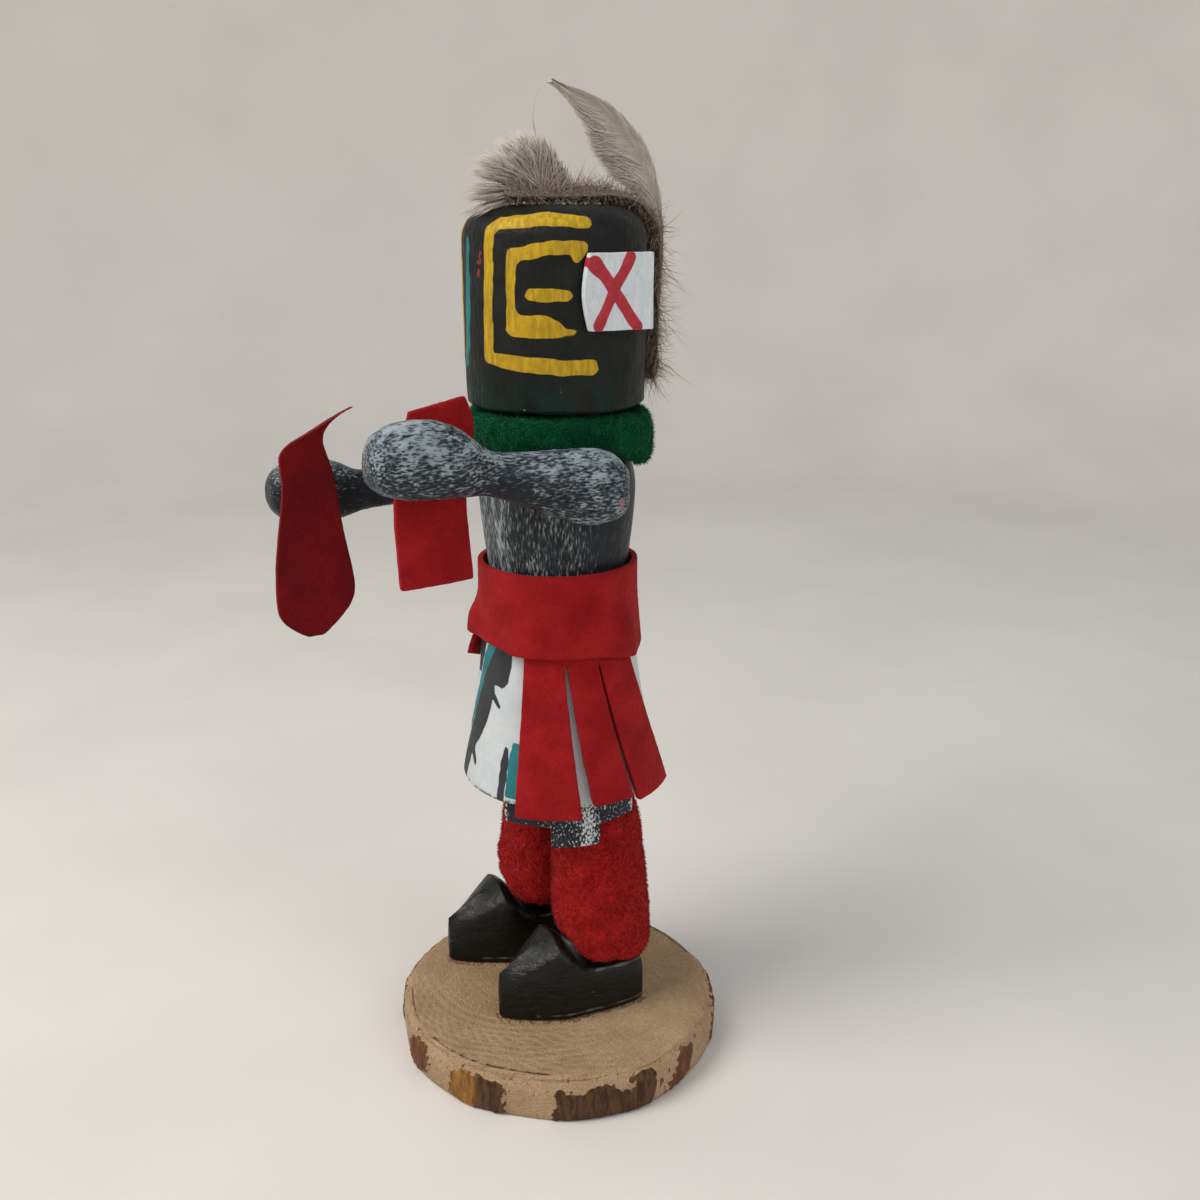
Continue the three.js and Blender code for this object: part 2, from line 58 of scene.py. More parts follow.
HEAD_LOW, HEAD_HIGH = box_mm("head")
HEAD_RADIUS = (HEAD_HIGH[0] - HEAD_LOW[0]) / 2
AXIS = np.array([(HEAD_LOW[0] + HEAD_HIGH[0]) / 2, (HEAD_LOW[1] + HEAD_HIGH[1]) / 2, 0.0])
SLICE_TOP = box_mm("branch_slice")[1][2]
MIRROR = -180.0  # a turn t about the axis is at MIRROR - t on the other side of the face
HAIR_SIDES = (0, 120, 240)  # a hair's cross-section is a triangle with corners at these turns
random = np.random.default_rng(11)


# ---- numbers ---------------------------------------------------------------


def smooth(value, low, high):
    """A smooth step from 0 at low to 1 at high, for low either side of high."""
    s = np.clip((np.asarray(value, float) - low) / (high - low), 0, 1)
    return s * s * (3 - 2 * s)


def lattice(cell, seed):
    """A number from -1 to 1 for each corner of a grid, always the same one."""
    mixed = cell[:, 0] * 73856093 ^ cell[:, 1] * 19349663 ^ cell[:, 2] * 83492791
    mixed = (mixed ^ (seed * 2654435761)) & 0x7FFFFFFF
    mixed = ((mixed ^ (mixed >> 13)) * 1274126177) & 0x7FFFFFFF
    return ((mixed ^ (mixed >> 16)) & 0xFFFF) / 32767.5 - 1


def lumps(points, size, seed=0, octaves=1):
    """Smooth noise from about -1 to 1, whose lumps are size across, one number or three."""
    total = np.zeros(len(points))
    for octave in range(octaves):
        at = points / (np.asarray(size, float) / 2**octave)
        cell = np.floor(at).astype(np.int64)
        part = at - cell
        part = part * part * (3 - 2 * part)
        for corner in np.ndindex(2, 2, 2):
            weight = np.prod(np.where(np.array(corner), part, 1 - part), axis=1)
            total += weight * lattice(cell + np.array(corner), seed + octave) * 0.5**octave
    return total


def unit(vectors):
    return vectors / np.maximum(np.linalg.norm(vectors, axis=-1, keepdims=True), 1e-9)


def stroke(at, line):
    """Signed distance of 2-D points from a brush stroke; its rows are x, y, half width."""
    best = np.full(len(at), 1e3)
    rows = np.array(line, float)
    for a, b in zip(rows, rows[1:]):
        run = b[:2] - a[:2]
        share = np.clip(((at - a[:2]) @ run) / max(run @ run, 1e-9), 0, 1)
        gap = np.linalg.norm(at - a[:2] - share[:, None] * run, axis=1)
        best = np.minimum(best, gap - (a[2] + share * (b[2] - a[2])))
    return best


def patch(at, corners):
    """Signed distance of 2-D points from a filled outline, negative inside."""
    rows = np.array(corners, float)
    best = np.full(len(at), 1e3)
    inside = np.zeros(len(at), bool)
    for a, b in zip(rows, np.roll(rows, -1, axis=0)):
        run = b - a
        share = np.clip(((at - a) @ run) / max(run @ run, 1e-9), 0, 1)
        best = np.minimum(best, np.linalg.norm(at - a - share[:, None] * run, axis=1))
        if a[1] != b[1]:
            crosses = (a[1] > at[:, 1]) != (b[1] > at[:, 1])
            side = a[0] + (at[:, 1] - a[1]) / (b[1] - a[1]) * run[0]
            inside ^= crosses & (at[:, 0] < side)
    return np.where(inside, -best, best)


# ---- meshes ----------------------------------------------------------------


def mesh_object(name, points, faces):
    """An object from points in millimetres and arrays of faces."""
    corners = np.concatenate([f.ravel() for f in faces]).astype(np.int32)
    counts = np.concatenate([np.full(len(f), f.shape[1]) for f in faces])
    mesh = bpy.data.meshes.new(name)
    mesh.vertices.add(len(points))
    mesh.vertices.foreach_set("co", (points * MM).astype(np.float32).ravel())
    mesh.loops.add(len(corners))
    mesh.loops.foreach_set("vertex_index", corners)
    mesh.polygons.add(len(counts))
    starts = np.concatenate([[0], np.cumsum(counts)[:-1]]).astype(np.int32)
    mesh.polygons.foreach_set("loop_start", starts)
    mesh.update(calc_edges=True)
    mesh.validate()
    obj = bpy.data.objects.new(name, mesh)
    bpy.context.scene.collection.objects.link(obj)
    return shaded_smooth(obj)


def ring_mesh(name, rings, both_ends=True):
    """A mesh through a stack of rings, filled at its first ring and perhaps at its last."""
    columns = len(rings[0])
    grid = np.arange(len(rings) * columns).reshape(len(rings), columns)
    after = np.roll(grid, -1, axis=1)
    quads = np.stack([grid[:-1], after[:-1], after[1:], grid[1:]], -1).reshape(-1, 4)
    ends = [grid[:1, ::-1], grid[-1:]] if both_ends else [grid[:1]]
    return mesh_object(name, np.concatenate(rings), [quads, *ends])


def shaded_smooth(obj):
    """Shades an object smoothly, and gives it back."""
    obj.data.polygons.foreach_set("use_smooth", np.ones(len(obj.data.polygons), bool))
    return obj


def refined(name, node, levels=3, sharp=50, crease=0.9):
    """A dense, rounded copy of a CAD node's mesh that keeps its sharp edges."""
    work = bmesh.new()
    work.from_mesh(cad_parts[node].data)
    bmesh.ops.remove_doubles(work, verts=work.verts, dist=1e-6)
    bmesh.ops.join_triangles(
        work,
        faces=work.faces,
        angle_face_threshold=math.radians(35),
        angle_shape_threshold=math.radians(75),
    )
    layer = work.edges.layers.float.new("crease_edge")
    for edge in work.edges:
        if edge.calc_face_angle(0.0) > math.radians(sharp):
            edge[layer] = crease
    mesh = bpy.data.meshes.new(name)
    work.to_mesh(mesh)
    work.free()
    rough = bpy.data.objects.new(name + ".rough", mesh)
    bpy.context.scene.collection.objects.link(rough)
    modifier = rough.modifiers.new("subdivision", "SUBSURF")
    modifier.levels = levels
    graph = bpy.context.evaluated_depsgraph_get()
    dense = bpy.data.meshes.new_from_object(rough.evaluated_get(graph))
    bpy.data.objects.remove(rough)
    dense.name = name
    dense.materials.clear()
    obj = bpy.data.objects.new(name, dense)
    bpy.context.scene.collection.objects.link(obj)
    return shaded_smooth(obj)


def points_of(obj):
    """An object's vertices in the figure's frame, in millimetres."""
    flat = np.zeros(len(obj.data.vertices) * 3, np.float32)
    obj.data.vertices.foreach_get("co", flat)
    return flat.reshape(-1, 3).astype(float) / MM - AXIS


def normals_of(obj):
    flat = np.zeros(len(obj.data.vertices) * 3, np.float32)
    obj.data.vertex_normals.foreach_get("vector", flat)
    return flat.reshape(-1, 3).astype(float)


def relief(obj, height):
    """Moves an object's surface out by height, one number for each vertex."""
    moved = (points_of(obj) + AXIS + normals_of(obj) * height[:, None]) * MM
    obj.data.vertices.foreach_set("co", moved.astype(np.float32).ravel())
    obj.data.update()


def keep(obj, name, values):
    """Keeps one number for each vertex where the material can read it."""
    layer = obj.data.attributes.new(name, "FLOAT", "POINT")
    layer.data.foreach_set("value", np.asarray(values, np.float32))


def turns(points):
    """The points' turn about the figure's axis in degrees: 0 is its left, -90 its front."""
    return np.degrees(np.arctan2(points[:, 1], points[:, 0]))


def on_surface(obj, count):
    """Evenly scattered points on an object's surface, with their normals."""
    mesh = obj.data
    mesh.calc_loop_triangles()
    flat = np.zeros(len(mesh.loop_triangles) * 3, np.int32)
    mesh.loop_triangles.foreach_get("vertices", flat)
    triangles = flat.reshape(-1, 3)
    points, normals = points_of(obj), normals_of(obj)
    a, b, c = (points[triangles[:, k]] for k in range(3))
    area = np.linalg.norm(np.cross(b - a, c - a), axis=1)
    chosen = random.choice(len(triangles), count, p=area / area.sum())
    weights = random.dirichlet((1, 1, 1), count)
    mixed = [np.einsum("nk,nkd->nd", weights, v[triangles[chosen]]) for v in (points, normals)]
    return mixed[0], unit(mixed[1])


def hairs(name, paths, radii):
    """Closed three-sided hairs. paths is (hairs, points, 3) and radii (hairs, points)."""
    count, length = paths.shape[:2]
    along = unit(np.gradient(paths, axis=1))
    helper = unit(random.normal(size=(count, 1, 3)))
    first = unit(np.cross(along, helper))
    second = np.cross(along, first)
    rings = []
    for turn in HAIR_SIDES:
        a = math.radians(turn)
        offset = (first * math.cos(a) + second * math.sin(a)) * radii[..., None]
        rings.append(paths + offset)
    rings = np.stack(rings, axis=2)[:, :-1].reshape(count, -1, 3)
    points = np.concatenate([rings, paths[:, -1:]], axis=1)
    per_hair = points.shape[1]
    quads, tips = [], [(0, 2, 1)]
    for level in range(length - 2):
        for k in range(3):
            low = level * 3
            quads.append((low + k, low + (k + 1) % 3, low + 3 + (k + 1) % 3, low + 3 + k))
    last = (length - 2) * 3
    tips += [(last + k, last + (k + 1) % 3, per_hair - 1) for k in range(3)]
    starts = (np.arange(count) * per_hair)[:, None, None]
    faces = [(np.array(tips)[None] + starts).reshape(-1, 3)]
    if quads:
        faces.append((np.array(quads)[None] + starts).reshape(-1, 4))
    obj = mesh_object(name, points.reshape(-1, 3) + AXIS, faces)
    share = np.repeat(np.linspace(0, 1, length)[:-1], 3)
    keep(obj, "tip", np.tile(np.concatenate([share, [1.0]]), count))
    keep(obj, "tone", np.repeat(random.random(count), per_hair))
    return obj


def joined(obj, *others):
    """One object from several; the first keeps its name."""
    chosen = [obj, *others]
    with bpy.context.temp_override(
        active_object=obj, object=obj, selected_objects=chosen, selected_editable_objects=chosen
    ):
        bpy.ops.object.join()
    return obj


def nap(obj, count, length, radius, lean=(0.0, 0.0, -0.4)):
    """Covers a piece of cloth with short fibres that lean one way."""
    roots, normals = on_surface(obj, count)
    way = unit(normals + random.normal(size=(count, 3)) * 0.5 + np.array(lean))
    reach = length * random.uniform(0.5, 1.3, (count, 1))
    steps = np.array([-0.2, 1.0])
    paths = roots[:, None] + way[:, None] * (reach * steps)[..., None]
    radii = np.full((count, 2), radius)
    return joined(obj, hairs(obj.name + ".nap", paths, radii))


# ---- materials -------------------------------------------------------------


def colour(red, green, blue):
    """A linear colour from its screen values, 0 to 255."""
    channels = [c / 255 for c in (red, green, blue)]
    return [c / 12.92 if c <= 0.04045 else ((c + 0.055) / 1.055) ** 2.4 for c in channels] + [1.0]


class Finish:
    """A procedural material. Its methods add nodes and give the socket that comes out."""

    def __init__(self, name, **sockets):
        self.material = bpy.data.materials.new(name)
        self.material.use_nodes = True
        self.tree = self.material.node_tree
        self.shader = self.tree.nodes["Principled BSDF"]
        for key, value in sockets.items():
            self.shader.inputs[key.replace("_", " ")].default_value = value
        place = self.tree.nodes.new("ShaderNodeTexCoord").outputs["Object"]
        self.place = self.node("ShaderNodeVectorMath", {0: place, 3: 1 / MM}, operation="SCALE")

    def node(self, kind, inputs, output=0, **settings):
        made = self.tree.nodes.new(kind)
        for key, value in settings.items():
            setattr(made, key, value)
        for key, value in inputs.items():
            if isinstance(value, bpy.types.NodeSocket):
                self.tree.links.new(value, made.inputs[key])
            else:
                made.inputs[key].default_value = value
        return made.outputs[output]

    def sums(self, operation, a, b=0.0):
        return self.node("ShaderNodeMath", {0: a, 1: b}, operation=operation)

    def step(self, value, low, high, least=0.0, most=1.0):
        """A smooth step of value from low to high, as a number from least to most."""
        inputs = {0: value, 1: low, 2: high, 3: least, 4: most}
        return self.node("ShaderNodeMapRange", inputs, interpolation_type="SMOOTHSTEP")

    def grain(self, size, low=0.35, high=0.65, detail=3.0, shift=0.0):
        """Noise with grains of that size, one number or three, spread from 0 to 1."""
        sizes = size if hasattr(size, "__len__") else (size, size, size)
        inputs = {0: self.place, 1: (shift, shift, shift), 3: [1 / s for s in sizes]}
        at = self.node("ShaderNodeMapping", inputs)
        value = self.node("ShaderNodeTexNoise", {"Vector": at, "Scale": 1.0, "Detail": detail})
        return self.step(value, low, high)

    def mix(self, share, a, b):
        inputs = {0: share, 6: a, 7: b}
        return self.node("ShaderNodeMix", inputs, output=2, data_type="RGBA")

    def kept(self, name):
        return self.node("ShaderNodeAttribute", {}, output=2, attribute_name=name)

    def painted(self, name, wobble=0.12, grain=0.5, soft=0.05):
        """1 inside a painted shape that is kept as a signed distance, with a hand's wobble."""
        wave = self.grain(grain, 0.3, 0.7, detail=0.0, shift=len(name) * 7.0)
        edge = self.sums("ADD", self.kept(name), self.sums("MULTIPLY", wave, 2 * wobble))
        return self.step(edge, wobble + soft, wobble - soft)

    def finish(self, base, rough=None, bumps=()):
        """Sets the colour, roughness and bumps; a bump is a height from 0 to 1 and its millimetres."""
        self.tree.links.new(base, self.shader.inputs["Base Color"])
        if rough is not None:
            self.tree.links.new(rough, self.shader.inputs["Roughness"])
        normal = None
        for height, depth in bumps:
            inputs = {"Height": height, "Distance": depth * MM, "Strength": 1.0}
            if normal is not None:
                inputs["Normal"] = normal
            normal = self.node("ShaderNodeBump", inputs)
        if normal is not None:
            self.tree.links.new(normal, self.shader.inputs["Normal"])
        return self.material


def placed(obj, material, slot, *nodes):
    """Gives a finished piece its material and its body, and hides the CAD nodes it stands for."""
    obj.data.materials.clear()
    obj.data.materials.append(material)
    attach(obj, "root")
    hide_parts(*nodes)
    return obj


# ---- the slice of branch ---------------------------------------------------

# Bark that is left on the slice's side: outlines of turn in degrees and height.
BARK = [
    [(-28.5, 0), (-27.5, 2.2), (-26.5, 5), (-22, 5.2), (-18, 4.8), (-14, 5.7), (-8, 5.6), (-4, 4.9),
     (-1, 5.9), (3, 6.6), (6.5, 6.6), (8.8, 5.2), (9, 2.5), (7, -0.5)],
    [(-68, 1), (-66, 5), (-60, 5.8), (-52, 5.6), (-45.5, 5.4), (-44.5, 0.4), (-52, -0.5), (-62, 0)],
    [(-93, 2), (-92, 4.8), (-86, 6.2), (-80, 5.6), (-77.5, 4), (-80, 1.5), (-84, 0.5), (-90, 0.4)],
    [(14, 0.5), (15.5, 2.2), (18.5, 3.2), (20, 5.4), (23, 6.3), (29.5, 5.4), (28, 1.4), (23, 0.4)],
    [(46, -0.5), (50, 4), (62, 6.4), (90, 5.8), (120, 6.6), (150, 5.2), (152, -0.5)],
    [(163, -0.5), (166, 5.4), (190, 6.5), (230, 5.9), (243, 6.4), (247, -0.5)],
]
NOTCH = [(-4.5, 5.1), (0.5, 5.2), (1.2, 4.2), (-0.5, 3.8), (-4, 4.3)]
BARK_RADIUS = 25  # turns are laid flat at this radius to measure the outlines
PITH = np.array([-7.0, -1.0])  # the middle of the growth rings, off the slice's own middle


def slice_finish():
    f = Finish("sawn_wood_and_bark", Specular_IOR_Level=0.25)
    fine, broad = f.grain(0.35, 0.3, 0.7), f.grain(5.0, 0.3, 0.7)
    wood = f.mix(broad, colour(186, 159, 126), colour(172, 144, 110))
    wood = f.mix(f.sums("MULTIPLY", fine, 0.35), wood, colour(128, 98, 66))
    wood = f.mix(f.sums("MULTIPLY", f.kept("rings"), 0.5), wood, colour(122, 92, 60))
    flecks = f.grain((0.9, 0.9, 1.6), 0.62, 0.7, shift=31)
    wood = f.mix(f.sums("MULTIPLY", flecks, f.kept("side")), wood, colour(105, 70, 42))
    streaks = f.grain((0.7, 0.7, 3.5), 0.35, 0.65, shift=9)
    brown = f.mix(streaks, colour(66, 44, 27), colour(98, 68, 44))
    golden = f.mix(streaks, colour(160, 112, 50), colour(112, 76, 42))
    red = f.mix(streaks, colour(128, 80, 56), colour(96, 60, 42))
    bark = f.mix(f.kept("golden"), f.mix(f.kept("reddish"), brown, red), golden)
    base = f.mix(f.painted("bark", wobble=0.25, grain=0.9, soft=0.12), wood, bark)
    base = f.mix(f.sums("MULTIPLY", f.painted("glue", wobble=0.25), 0.6), base, colour(104, 58, 30))
    rough = f.step(fine, 0, 1, 0.72, 0.9)
    return f.finish(base, rough, [(fine, 0.1), (f.grain((0.25, 2.5, 0.25), 0.3, 0.7), 0.05)])


def shoe_gap(points):
    """How far points on the slice lie from the nearer shoe's sole."""
    best = np.full(len(points), 1e3)
    for node in ("shoe_left", "shoe_right"):
        flat = np.array([v.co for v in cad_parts[node].data.vertices]) / MM - AXIS
        sole = flat[flat[:, 2] < SLICE_TOP + 1.5][:, :2]
        middle = sole.mean(0)
        way = np.arctan2(*(sole - middle).T[::-1])
        outline = sole[np.argsort(way)][::6]
        best = np.minimum(best, patch(points[:, :2], outline))
    return best


def make_slice():
    columns = 420
    angle = np.arange(columns) / columns * 2 * math.pi
    rough = np.array([v.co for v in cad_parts["branch_slice"].data.vertices]) / MM
    band = rough[(rough[:, 2] > 3) & (rough[:, 2] < 5)]
    around = np.arctan2(band[:, 1], band[:, 0]) % (2 * math.pi)
    order = np.argsort(around)
    radius = np.interp(
        angle, around[order], np.linalg.norm(band[order, :2], axis=1), period=2 * math.pi
    )
    # rows from the underside's middle, up the side and in over the top: inset, height
    side = [(0.9, 0), (0.5, 0.12), (0.2, 0.5), (0.05, 1.4), (0, 3.9), (0.1, 5.4), (0.25, 6.2),
            (0.55, 6.8), (0.95, SLICE_TOP), (1.5, SLICE_TOP)]
    where = np.linspace(0, len(side) - 1, 34)
    inset = np.interp(where, range(len(side)), [s[0] for s in side])
    height = np.interp(where, range(len(side)), [s[1] for s in side])
    rows = [(share, None, 0.0) for share in (0.05, 0.35, 0.7)]
    rows += [(None, i, h) for i, h in zip(inset, height)]
    rows += [(share, None, SLICE_TOP) for share in np.linspace(0.94, 0.03, 38)]
    rings = []
    for share, row_inset, row_height in rows:
        r = radius * share if share is not None else radius - row_inset
        rings.append(np.stack([r * np.cos(angle), r * np.sin(angle), np.full(columns, row_height)], 1))
    obj = ring_mesh("branch_slice.wood", rings)
    points = np.concatenate(rings)
    turn = turns(points)
    reach = np.linalg.norm(points[:, :2], axis=1)
    on_side = smooth(reach, 23.4, 24.4)
    best = np.full(len(points), 50.0)
    for outline in BARK:
        corners = [(math.radians(t) * BARK_RADIUS, z) for t, z in outline]
        for shift in (0, 360):
            flat = np.stack([np.radians(turn + shift) * BARK_RADIUS, points[:, 2]], 1)
            best = np.minimum(best, patch(flat, corners))
    flat = np.stack([np.radians(turn) * BARK_RADIUS, points[:, 2]], 1)
    notch = patch(flat, [(math.radians(t) * BARK_RADIUS, z) for t, z in NOTCH])
    bark = np.maximum(best, -notch) + (1 - on_side) * 9 + 0.2 * lumps(points, 1.6, 3, 2)
    growth = np.linalg.norm(points[:, :2] - PITH, axis=1) + 0.5 * lumps(points, 6, 5, 2)
    wave = 0.5 + 0.5 * np.sin(growth * 5.2 + 1.5 * np.sin(growth * 0.9))
    weight = 0.25 + 0.75 * smooth(points[:, 0] - points[:, 1], 2, 16) * smooth(-points[:, 1], -4, 8)
    keep(obj, "bark", bark)
    keep(obj, "rings", wave**2 * weight * (1 - on_side))
    keep(obj, "side", on_side)
    keep(obj, "golden", smooth(turn, -69, -67) * smooth(turn, -54, -57))
    keep(obj, "reddish", np.clip(smooth(turn, -70, -74) + smooth(turn, 12, 14), 0, 1))
    keep(obj, "glue", np.abs(shoe_gap(points - AXIS) - 0.1) - 0.3 + 9 * on_side)
    worn = smooth(points[:, 2], 4.5, 6.6) * on_side * (0.3 + 0.35 * lumps(points, 3.5, 8))
    proud = 0.3 * smooth(bark, 0.15, -0.15) * (1 + 0.5 * lumps(points, (0.8, 0.8, 2.4), 6, 2))
    shake = 0.05 * lumps(points, (0.7, 0.7, 2.0), 4, 2) * on_side + 0.015 * wave * (1 - on_side)
    below = smooth(points[:, 2], 0.0, 0.4)
    relief(obj, (proud - worn + shake - 0.25 * on_side) * below)
    return placed(obj, slice_finish(), "slice", "branch_slice")


# ---- shoes and leggings ----------------------------------------------------


def shoe_finish():
    f = Finish("black_gloss_paint", Specular_IOR_Level=0.3)
    broad = f.grain((1.2, 3.0, 0.8), 0.3, 0.7)
    base = f.mix(broad, colour(8, 8, 8), colour(16, 17, 15))
    specks = f.grain(0.45, 0.73, 0.78, shift=5)
    base = f.mix(f.sums("MULTIPLY", specks, 0.6), base, colour(170, 175, 165))
    worn = f.sums("MULTIPLY", f.painted("worn", 0.06, 2.0, 0.12), f.grain((1, 2.5, 1), 0.3, 0.6, shift=3))
    base = f.mix(worn, base, colour(98, 110, 100))
    return f.finish(base, f.step(broad, 0, 1, 0.32, 0.5), [(broad, 0.05), (f.grain(0.3), 0.015)])


def make_shoe(node, material):
    obj = refined(node + ".painted", node, sharp=35, crease=0.75)
    points = points_of(obj)
    middle = points.mean(0)
    facets = 0.08 * lumps(points, (3.6, 4.4, 3.6), 12) + 0.015 * lumps(points, 1.2, 13)
    level = points[:, 2] - SLICE_TOP
    along = points[:, 1] - middle[1]
    sole = np.abs(level - 1.1) - 0.14 + 2.0 * smooth(along, -5, -7) + 0.08 * lumps(points, 3.0, 15)
    heel = np.abs(level - 7.9 + 0.05 * along) - 0.12 + 2.0 * smooth(along, 4.2, 2.4)
    keep(obj, "worn", np.minimum(sole, heel))
    relief(obj, facets * smooth(level, 0.2, 0.9))
    return placed(obj, material, "shoe", node)


def legging_finish():
    f = Finish("fuzzy_red_cloth", Roughness=0.95, Sheen_Weight=0.25, Sheen_Roughness=0.5,
               Sheen_Tint=colour(255, 130, 120), Specular_IOR_Level=0.1)
    broad, fine = f.grain(3.0, 0.3, 0.7), f.grain(0.5, 0.3, 0.7)
    base = f.mix(broad, colour(172, 18, 24), colour(194, 30, 33))
    base = f.mix(f.sums("MULTIPLY", fine, 0.3), base, colour(132, 10, 18))
    # The fibres turn paler toward their tips: a painted highlight on the fuzz.
    base = f.mix(f.sums("MULTIPLY", f.kept("tip"), 0.35), base, colour(222, 58, 55))
    lint = f.grain(0.9, 0.75, 0.79, shift=17)
    base = f.mix(f.sums("MULTIPLY", lint, 0.7), base, colour(215, 150, 130))
    return f.finish(base, None, [(fine, 0.25), (f.grain(0.2), 0.1)])


def make_legging(node, material):
    obj = refined(node + ".cloth", node, levels=2, crease=0.3)
    points = points_of(obj)
    swell = 0.28 * lumps(points, 2.6, 21, 2) + 0.14 * lumps(points, 0.9, 22, 2)
    relief(obj, swell - 0.1)
    nap(obj, 13000, 0.42, 0.08)
    return placed(obj, material, "fluffy", node)


# ---- body, arms and head ---------------------------------------------------


def brushed_finish(name, stretch, dark, light, shift=0.0):
    """Black paint with a paler paint dragged dry over it, where "brush" is kept. That number also holds
    painted light and shade: more pale paint where light falls, less in shade.
    """
    f = Finish(name, Specular_IOR_Level=0.22)
    base = f.mix(f.grain(2.2, 0.3, 0.7), dark, colour(30, 35, 42))
    size = [0.27 * s for s in stretch]
    bristle = f.grain(size, 0.0, 1.0, detail=4, shift=shift)
    blotch = f.grain([1.6 * s**0.5 for s in stretch], 0.25, 0.75, shift=shift + 4)
    cover = f.sums("MULTIPLY", f.kept("brush"), f.sums("ADD", f.sums("MULTIPLY", blotch, 0.7), 0.5))
    level = f.sums("ADD", bristle, f.sums("MULTIPLY", cover, 0.5))
    share = f.step(level, 0.74, 1.02, 0.0, 0.8)
    base = f.mix(share, base, f.mix(blotch, light, colour(186, 196, 198)))
    thin = f.sums("MULTIPLY", f.step(level, 0.55, 0.95), 0.28)
    base = f.mix(thin, base, light)
    base = f.mix(f.painted("pink", wobble=0.3), base, colour(150, 105, 112))
    return f.finish(base, f.step(share, 0, 0.8, 0.42, 0.75), [(bristle, 0.08), (blotch, 0.1)])


def make_body():
    obj = refined("body.painted", "body", levels=2, sharp=38, crease=0.6)
    points = points_of(obj)
    turn = turns(points)
    front = smooth(turn, 12, -14) * smooth(turn, -175, -140)
    # More pale paint on the front facet is painted light on the facet that faces the lamp, laid over the
    # dry brushing.
    lit_facet = smooth(np.abs(turn + 92), 34, 22)
    upper = smooth(points[:, 2], 93.5, 89)
    keep(obj, "brush", (0.42 * front + 0.3 * lit_facet) * (0.3 + 0.7 * upper))
    keep(obj, "pink", np.full(len(points), 9.0))
    cuts = 0.1 * lumps(points, (3.2, 3.2, 9.0), 31) + 0.04 * lumps(points, (0.8, 0.8, 3.5), 32, 2)
    relief(obj, cuts)
    finish = brushed_finish("dry_brushed_body", (1, 1, 5), colour(18, 21, 22), colour(128, 138, 142))
    return placed(obj, finish, "body", "body")


def make_arm(node, side):
    obj = refined(node + ".painted", node, sharp=60, crease=0.4)
    points = points_of(obj)
    low, high = box_mm(node)
    low, high = low - AXIS, high - AXIS
    forward = (high[1] - points[:, 1]) / (high[1] - low[1])
    rise = points[:, 2] - np.interp(forward, (0, 0.3, 0.7, 1), (90.5, 91.5, 95.5, 97.5)
                                    if side > 0 else (90.3, 90.5, 88, 88.5))
    shoulder = smooth(forward, 0.34, 0.08)
    hand = smooth(forward, 0.66, 0.8)
    elbow = np.exp(-(((forward - 0.5) / 0.1) ** 2)) * smooth(rise, 1.5, -1.5)
    # Painted light and shade over the dry brushing: more pale paint on top of the arm and on the hand's
    # top, less under the elbow and all over the right arm, the far one.
    brush = 0.5 + 0.3 * smooth(rise, 0, 3.5) + 0.15 * shoulder + 0.22 * hand * smooth(rise, -2, 2)
    keep(obj, "brush", brush - 0.6 * elbow - (0.4 if side < 0 else 0.0))
    dot = np.linalg.norm(points - np.array([side * 18.6, 1.3, 89.3]), axis=1) - 0.9
    keep(obj, "pink", dot)
    relief(obj, 0.16 * lumps(points, (2.4, 4.0, 2.4), 41) + 0.06 * lumps(points, 0.9, 42, 2))
    finish = brushed_finish(node + "_paint", (1, 3.2, 1), colour(18, 23, 28), colour(118, 131, 141),
                            shift=10.0 + side)
    return placed(obj, finish, "body", node)


# Strokes of the face's side: turn about the axis, height, half width. They are
# repeated as a mirror image on the other side.
YELLOW = [
    [(-5.8, 125.8, 0.85), (-30, 126.2, 0.95), (-62, 125.6, 0.9), (-67.9, 124.6, 0.95),
     (-69.8, 116, 0.95), (-70.4, 108.3, 0.95), (-50, 107.7, 1.15), (-20, 107.2, 1.15), (-3.4, 107.2, 1.1)],
    [(-9.8, 122.7, 0.9), (-30, 122.6, 1.0), (-51.5, 121.6, 1.0), (-52.8, 119, 0.75), (-53.1, 113, 0.75)],
    [(-9.8, 122.7, 0.9), (-13, 121.3, 0.75)],
    [(-51.5, 112.6, 1.45), (-38, 112.6, 1.55), (-27, 112.4, 1.3), (-21, 111.8, 0.75), (-10.9, 111.4, 0.65)],
    [(-40.5, 116.8, 1.0), (-30, 116.7, 1.0), (-18.4, 116.6, 0.8)],
]
TRIM = 0.1  # taken off each side of every stroke on the head
TEAL = [[(-91, 123.5, 0.5), (-93, 117, 0.9), (-96, 110, 0.9), (-101, 107, 1.0)]]
RED_DAB = [[(-76.5, 121.6, 0.5), (-78.5, 118.9, 0.35)]]
SCRATCHES = [[(t, 101.7 + 0.25 * math.sin(t), 0.13), (t + 2.2, 101.9 + 0.3 * math.sin(2 * t), 0.1)]
             for t in (-50, -46, -42, -38, -34, -30)] + [[(-23, 103.4, 0.1), (-23.4, 105.2, 0.14)]]


def head_shape(points, strokes, mirrored=True):
    """Signed distance from brush strokes on the head, on one side or on both."""
    turn = turns(points)
    best = np.full(len(points), 1e3)
    for way in (turn, MIRROR - turn) if mirrored else (turn,):
        wrapped = (way + 180) % 360 - 180
        flat = np.stack([np.radians(wrapped) * HEAD_RADIUS, points[:, 2]], 1)
        for line in strokes:
            rows = [(math.radians(t) * HEAD_RADIUS, z, half) for t, z, half in line]
            best = np.minimum(best, stroke(flat, rows))
    return best + TRIM


